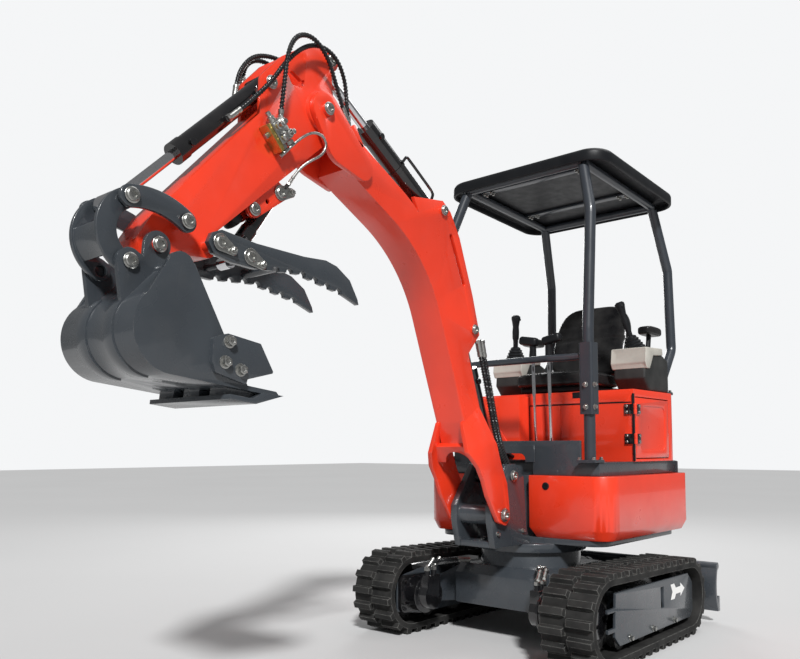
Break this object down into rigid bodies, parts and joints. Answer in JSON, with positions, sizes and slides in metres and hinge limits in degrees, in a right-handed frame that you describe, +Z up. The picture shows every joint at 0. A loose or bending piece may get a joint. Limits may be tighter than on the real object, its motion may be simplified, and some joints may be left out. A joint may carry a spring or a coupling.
{
  "type": "mini excavator",
  "caption": "Compact tracked digger with an open canopy, slewing house, cranked boom, arm, bucket, thumb and rear dozer blade, all moved by hydraulic cylinders.",
  "frame": {"origin": "on the ground under the slew axis, midway between the tracks", "axes": "+X forward along the boom, +Y to the machine's left, +Z up"},
  "size_m": [3.1772, 1.24, 2.3],
  "materials": {
    "red_paint": "gloss",
    "grey_paint": "satin",
    "track_rubber": "matte",
    "cast_iron": "matte",
    "black_paint": "gloss",
    "chrome": "polished",
    "black_plastic": "matte",
    "seat_vinyl": "satin",
    "cream_plastic": "satin"
  },
  "bodies": {
    "undercarriage": {"track_frame": "grey_paint", "track_left": "track_rubber", "track_right": "track_rubber", "sprocket_left": "cast_iron", "sprocket_right": "cast_iron", "idler_left": "cast_iron", "idler_right": "cast_iron", "rollers_left": "cast_iron", "rollers_right": "cast_iron", "travel_motor_left": "black_paint", "travel_motor_right": "black_paint"},
    "blade": {"blade": "grey_paint"},
    "blade_barrel": {"blade_barrel": "black_paint"},
    "blade_rod": {"blade_rod": "chrome"},
    "house": {"house_frame": "grey_paint", "boom_bracket": "grey_paint", "cowl_left": "red_paint", "cowl_right": "red_paint", "counterweight": "grey_paint", "floor": "grey_paint", "seat_base": "red_paint", "rear_hood": "red_paint", "engine": "cast_iron", "seat": "seat_vinyl", "console_left": "cream_plastic", "console_right": "cream_plastic", "joystick_left": "black_plastic", "joystick_right": "black_plastic", "travel_levers": "black_plastic", "front_post_left": "black_paint", "front_post_right": "black_paint", "rear_post_left": "black_paint", "rear_post_right": "black_paint", "roof_bars": "black_paint", "handrail": "black_paint", "canopy_roof": "black_plastic"},
    "side_door": {"side_door": "red_paint"},
    "boom": {"boom": "red_paint"},
    "boom_barrel": {"boom_barrel": "black_paint"},
    "boom_rod": {"boom_rod": "chrome"},
    "arm_barrel": {"arm_barrel": "black_paint"},
    "arm_rod": {"arm_rod": "chrome"},
    "arm": {"arm": "red_paint", "thumb_bracket": "red_paint", "thumb_bracket_pin": "chrome"},
    "bucket_barrel": {"bucket_barrel": "black_paint"},
    "bucket_rod": {"bucket_rod": "chrome"},
    "thumb_barrel": {"thumb_barrel": "black_paint"},
    "thumb_rod": {"thumb_rod": "chrome"},
    "rocker": {"rocker": "grey_paint"},
    "bucket_link": {"bucket_link": "grey_paint"},
    "bucket": {"bucket": "grey_paint"},
    "thumb": {"thumb": "grey_paint"}
  },
  "joints": [
    {"name": "slew", "type": "hinge", "parent": "undercarriage", "child": "house", "pos_m": [0, 0, 0.4], "axis": [0, 0, 1], "continuous": true},
    {"name": "boom_lift", "type": "hinge", "parent": "house", "child": "boom", "pos_m": [0.428, 0, 0.583], "axis": [0, -1, 0], "range_deg": [-75, 14]},
    {"name": "arm_swing", "type": "hinge", "parent": "boom", "child": "arm", "pos_m": [1.455, 0, 2.056], "axis": [0, 1, 0], "range_deg": [-45, 52]},
    {"name": "bucket_curl", "type": "hinge", "parent": "arm", "child": "bucket", "pos_m": [2.108, 0, 1.443], "axis": [0, 1, 0], "range_deg": [-105, 38]},
    {"name": "thumb_close", "type": "hinge", "parent": "arm", "child": "thumb", "pos_m": [1.92098, 0, 1.48141], "axis": [0, 1, 0], "range_deg": [-36, 18]},
    {"name": "blade_lift", "type": "hinge", "parent": "undercarriage", "child": "blade", "pos_m": [-0.335, 0, 0.19], "axis": [0, 1, 0], "range_deg": [-18, 18]},
    {"name": "side_door_hinge", "type": "hinge", "parent": "house", "child": "side_door", "pos_m": [-0.196, 0.458, 0.97], "axis": [0, 0, -1], "range_deg": [0, 100]},
    {"name": "boom_barrel_hinge", "type": "hinge", "parent": "house", "child": "boom_barrel", "pos_m": [0.32, 0, 0.749], "axis": [0, 1, 0], "range_deg": [-16.09, 78.27]},
    {"name": "boom_rod_slide", "type": "slide", "parent": "boom_barrel", "child": "boom_rod", "axis": [0.3551, 0, 0.9348], "range_m": [-0.04389, 0.23077]},
    {"name": "arm_barrel_hinge", "type": "hinge", "parent": "boom", "child": "arm_barrel", "pos_m": [0.77191, 0, 1.85608], "axis": [0, 1, 0], "range_deg": [-4.79, 5.51]},
    {"name": "arm_rod_slide", "type": "slide", "parent": "arm_barrel", "child": "arm_rod", "axis": [0.843, 0, 0.5379], "range_m": [-0.14484, 0.16722]},
    {"name": "bucket_barrel_hinge", "type": "hinge", "parent": "arm", "child": "bucket_barrel", "pos_m": [1.68272, 0, 2.08088], "axis": [0, 1, 0], "range_deg": [-4.3, 1.63]},
    {"name": "bucket_rod_slide", "type": "slide", "parent": "bucket_barrel", "child": "bucket_rod", "axis": [0.7065, 0, -0.7077], "range_m": [-0.17915, 0.06547]},
    {"name": "thumb_barrel_hinge", "type": "hinge", "parent": "arm", "child": "thumb_barrel", "pos_m": [1.61966, 0, 1.72587], "axis": [0, 1, 0], "range_deg": [-1.53, 2.97]},
    {"name": "thumb_rod_slide", "type": "slide", "parent": "thumb_barrel", "child": "thumb_rod", "axis": [0.5723, 0, -0.82], "range_m": [-0.03478, 0.06856]},
    {"name": "blade_barrel_hinge", "type": "hinge", "parent": "undercarriage", "child": "blade_barrel", "pos_m": [-0.33, 0, 0.3], "axis": [0, 1, 0], "range_deg": [-17.29, 17.29]},
    {"name": "blade_rod_slide", "type": "slide", "parent": "blade_barrel", "child": "blade_rod", "axis": [-0.9829, 0, -0.1843], "range_m": [-0.03435, 0.03435]},
    {"name": "rocker_hinge", "type": "hinge", "parent": "arm", "child": "rocker", "pos_m": [2.02788, 0, 1.5237], "axis": [0, 1, 0], "range_deg": [-64.35, 24.38]},
    {"name": "bucket_link_hinge", "type": "hinge", "parent": "rocker", "child": "bucket_link", "pos_m": [2.20509, 0, 1.55759], "axis": [0, 1, 0], "range_deg": [-9.79, 25.84]}
  ],
  "couplings": [
    {"joint": "boom_barrel_hinge", "follows": "boom_lift", "ratio": -1.0194},
    {"joint": "boom_rod_slide", "follows": "boom_lift", "m_per_rad": -0.17553},
    {"joint": "arm_barrel_hinge", "follows": "arm_swing", "ratio": 0.1021},
    {"joint": "arm_rod_slide", "follows": "arm_swing", "m_per_rad": 0.18315},
    {"joint": "bucket_barrel_hinge", "follows": "bucket_curl", "ratio": 0.03983},
    {"joint": "bucket_rod_slide", "follows": "bucket_curl", "m_per_rad": 0.097211},
    {"joint": "thumb_barrel_hinge", "follows": "thumb_close", "ratio": -0.08018},
    {"joint": "thumb_rod_slide", "follows": "thumb_close", "m_per_rad": -0.10752},
    {"joint": "blade_barrel_hinge", "follows": "blade_lift", "ratio": 0.92336},
    {"joint": "blade_rod_slide", "follows": "blade_lift", "m_per_rad": -0.10616},
    {"joint": "rocker_hinge", "follows": "bucket_curl", "ratio": 0.59657},
    {"joint": "bucket_link_hinge", "follows": "bucket_curl", "ratio": -0.23957}
  ]
}
